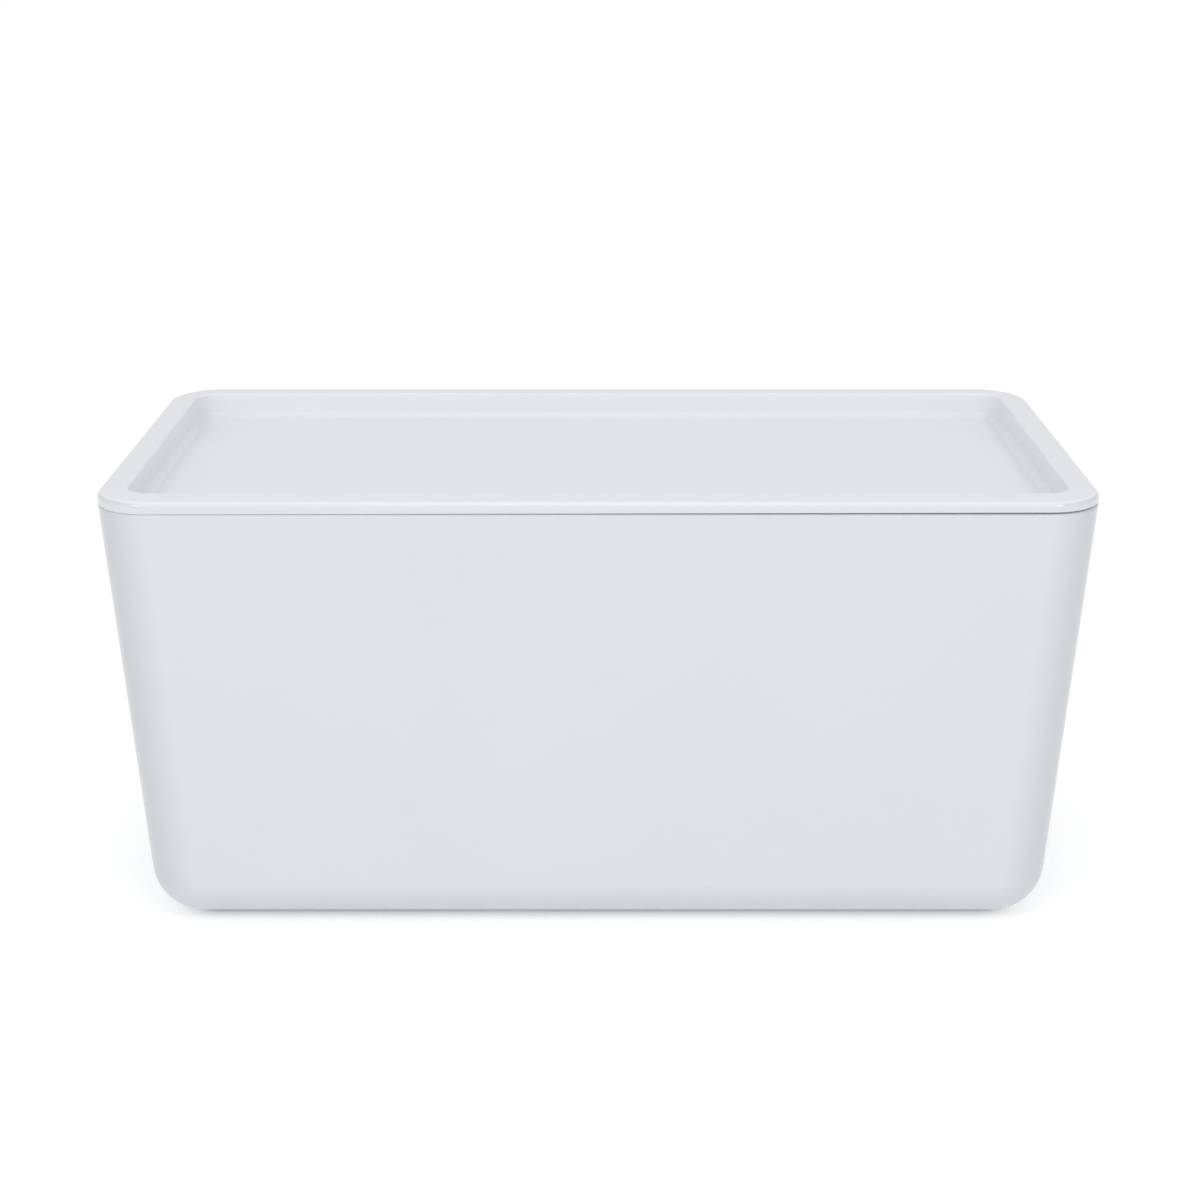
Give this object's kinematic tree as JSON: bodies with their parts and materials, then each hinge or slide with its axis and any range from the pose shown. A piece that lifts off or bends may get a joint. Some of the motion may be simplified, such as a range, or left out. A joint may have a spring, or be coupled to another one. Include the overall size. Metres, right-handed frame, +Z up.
{
  "type": "cable management box",
  "caption": "Tapered desktop box that hides a power strip and spare cable, with cable exits in its short ends and a lift-off lid that serves as a shallow tray.",
  "frame": {"origin": "on the surface the box stands on, under the middle of the box", "axes": "+X along the box, +Y from the front wall to the rear wall, +Z up"},
  "size_m": [0.32, 0.152, 0.154],
  "materials": {
    "tub_plastic": "satin-gloss white moulding with a cool tint",
    "lid_plastic": "high-gloss white moulding",
    "foot_rubber": "matt grey"
  },
  "bodies": {
    "tub": {"box_body": "tub_plastic", "foot_front_left": "foot_rubber", "foot_front_right": "foot_rubber", "foot_rear_left": "foot_rubber", "foot_rear_right": "foot_rubber"},
    "lid": {"tray_lid": "lid_plastic"}
  },
  "joints": [
    {"name": "lid_lift", "type": "slide", "parent": "tub", "child": "lid", "axis": [0, 0, 1], "range_m": [0, 0.06]}
  ]
}
